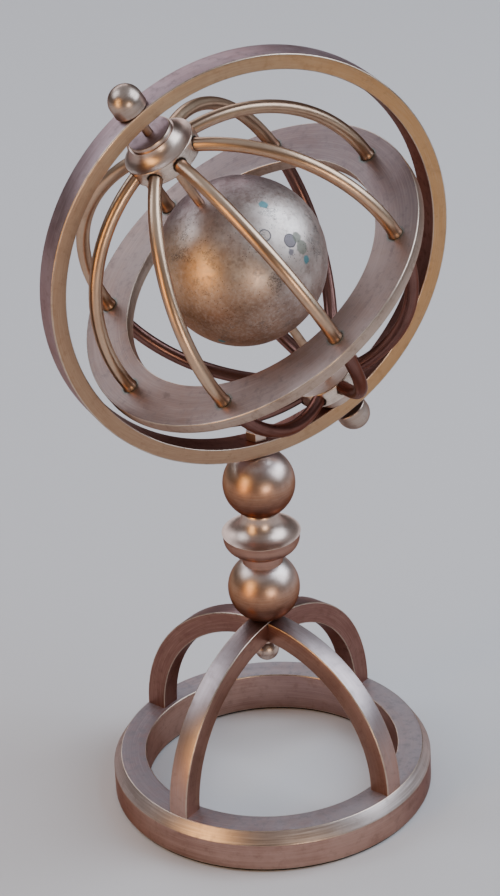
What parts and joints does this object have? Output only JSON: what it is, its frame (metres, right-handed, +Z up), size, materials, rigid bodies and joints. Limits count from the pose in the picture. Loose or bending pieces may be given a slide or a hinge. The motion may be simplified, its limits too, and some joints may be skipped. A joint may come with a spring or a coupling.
{
  "type": "armillary sphere",
  "caption": "Table armillary sphere: a globe inside a ribbed cage and tilted axle, in an upright ring on a turned stem and crossed arches over a flat ring base.",
  "frame": {"origin": "under the middle of the base, on the stem's axis, at the height of the felt pad's underside", "axes": "+Z up along the stem; the meridian ring stands in the XZ plane with its flat faces towards -Y and +Y; the polar axle leans 30 degrees from upright with its upper end towards -X"},
  "size_m": [0.154, 0.1334, 0.2967],
  "materials": {
    "bronze": "brushed, aged copper-brown",
    "brass": "turned and brushed, aged",
    "globe": "satin with dark pits and small green spots",
    "steel": "plain",
    "felt": "dark felt"
  },
  "bodies": {
    "stand": {"base_pad": "felt", "base_ring": "bronze", "foot_screws": "steel", "arch_through": "bronze", "arch_lapped": "bronze", "cap_nut": "brass", "tie_rod": "steel", "lower_ball": "brass", "collar": "brass", "upper_ball": "brass", "ring_nut": "brass", "meridian_ring": "brass"},
    "axle": {"polar_axle": "brass", "globe": "globe", "north_knob": "brass", "south_knob": "brass"},
    "cage": {"north_hub": "brass", "south_hub": "brass", "equator_ring": "bronze", "north_rib_1": "brass", "north_rib_2": "brass", "north_rib_3": "brass", "north_rib_4": "brass", "north_rib_5": "brass", "north_rib_6": "brass", "north_rib_7": "brass", "north_rib_8": "brass", "south_rib_1": "brass", "south_rib_2": "brass", "south_rib_3": "brass", "south_rib_4": "brass", "south_rib_5": "brass", "south_rib_6": "brass", "south_rib_7": "brass", "south_rib_8": "brass"}
  },
  "joints": [
    {"name": "axle_spin", "type": "hinge", "parent": "stand", "child": "axle", "pos_m": [-0.00173, 0, 0.2187], "axis": [-0.5, 0, 0.866], "continuous": true},
    {"name": "cage_spin", "type": "hinge", "parent": "axle", "child": "cage", "pos_m": [-0.00173, 0, 0.2187], "axis": [-0.5, 0, 0.866], "continuous": true}
  ]
}
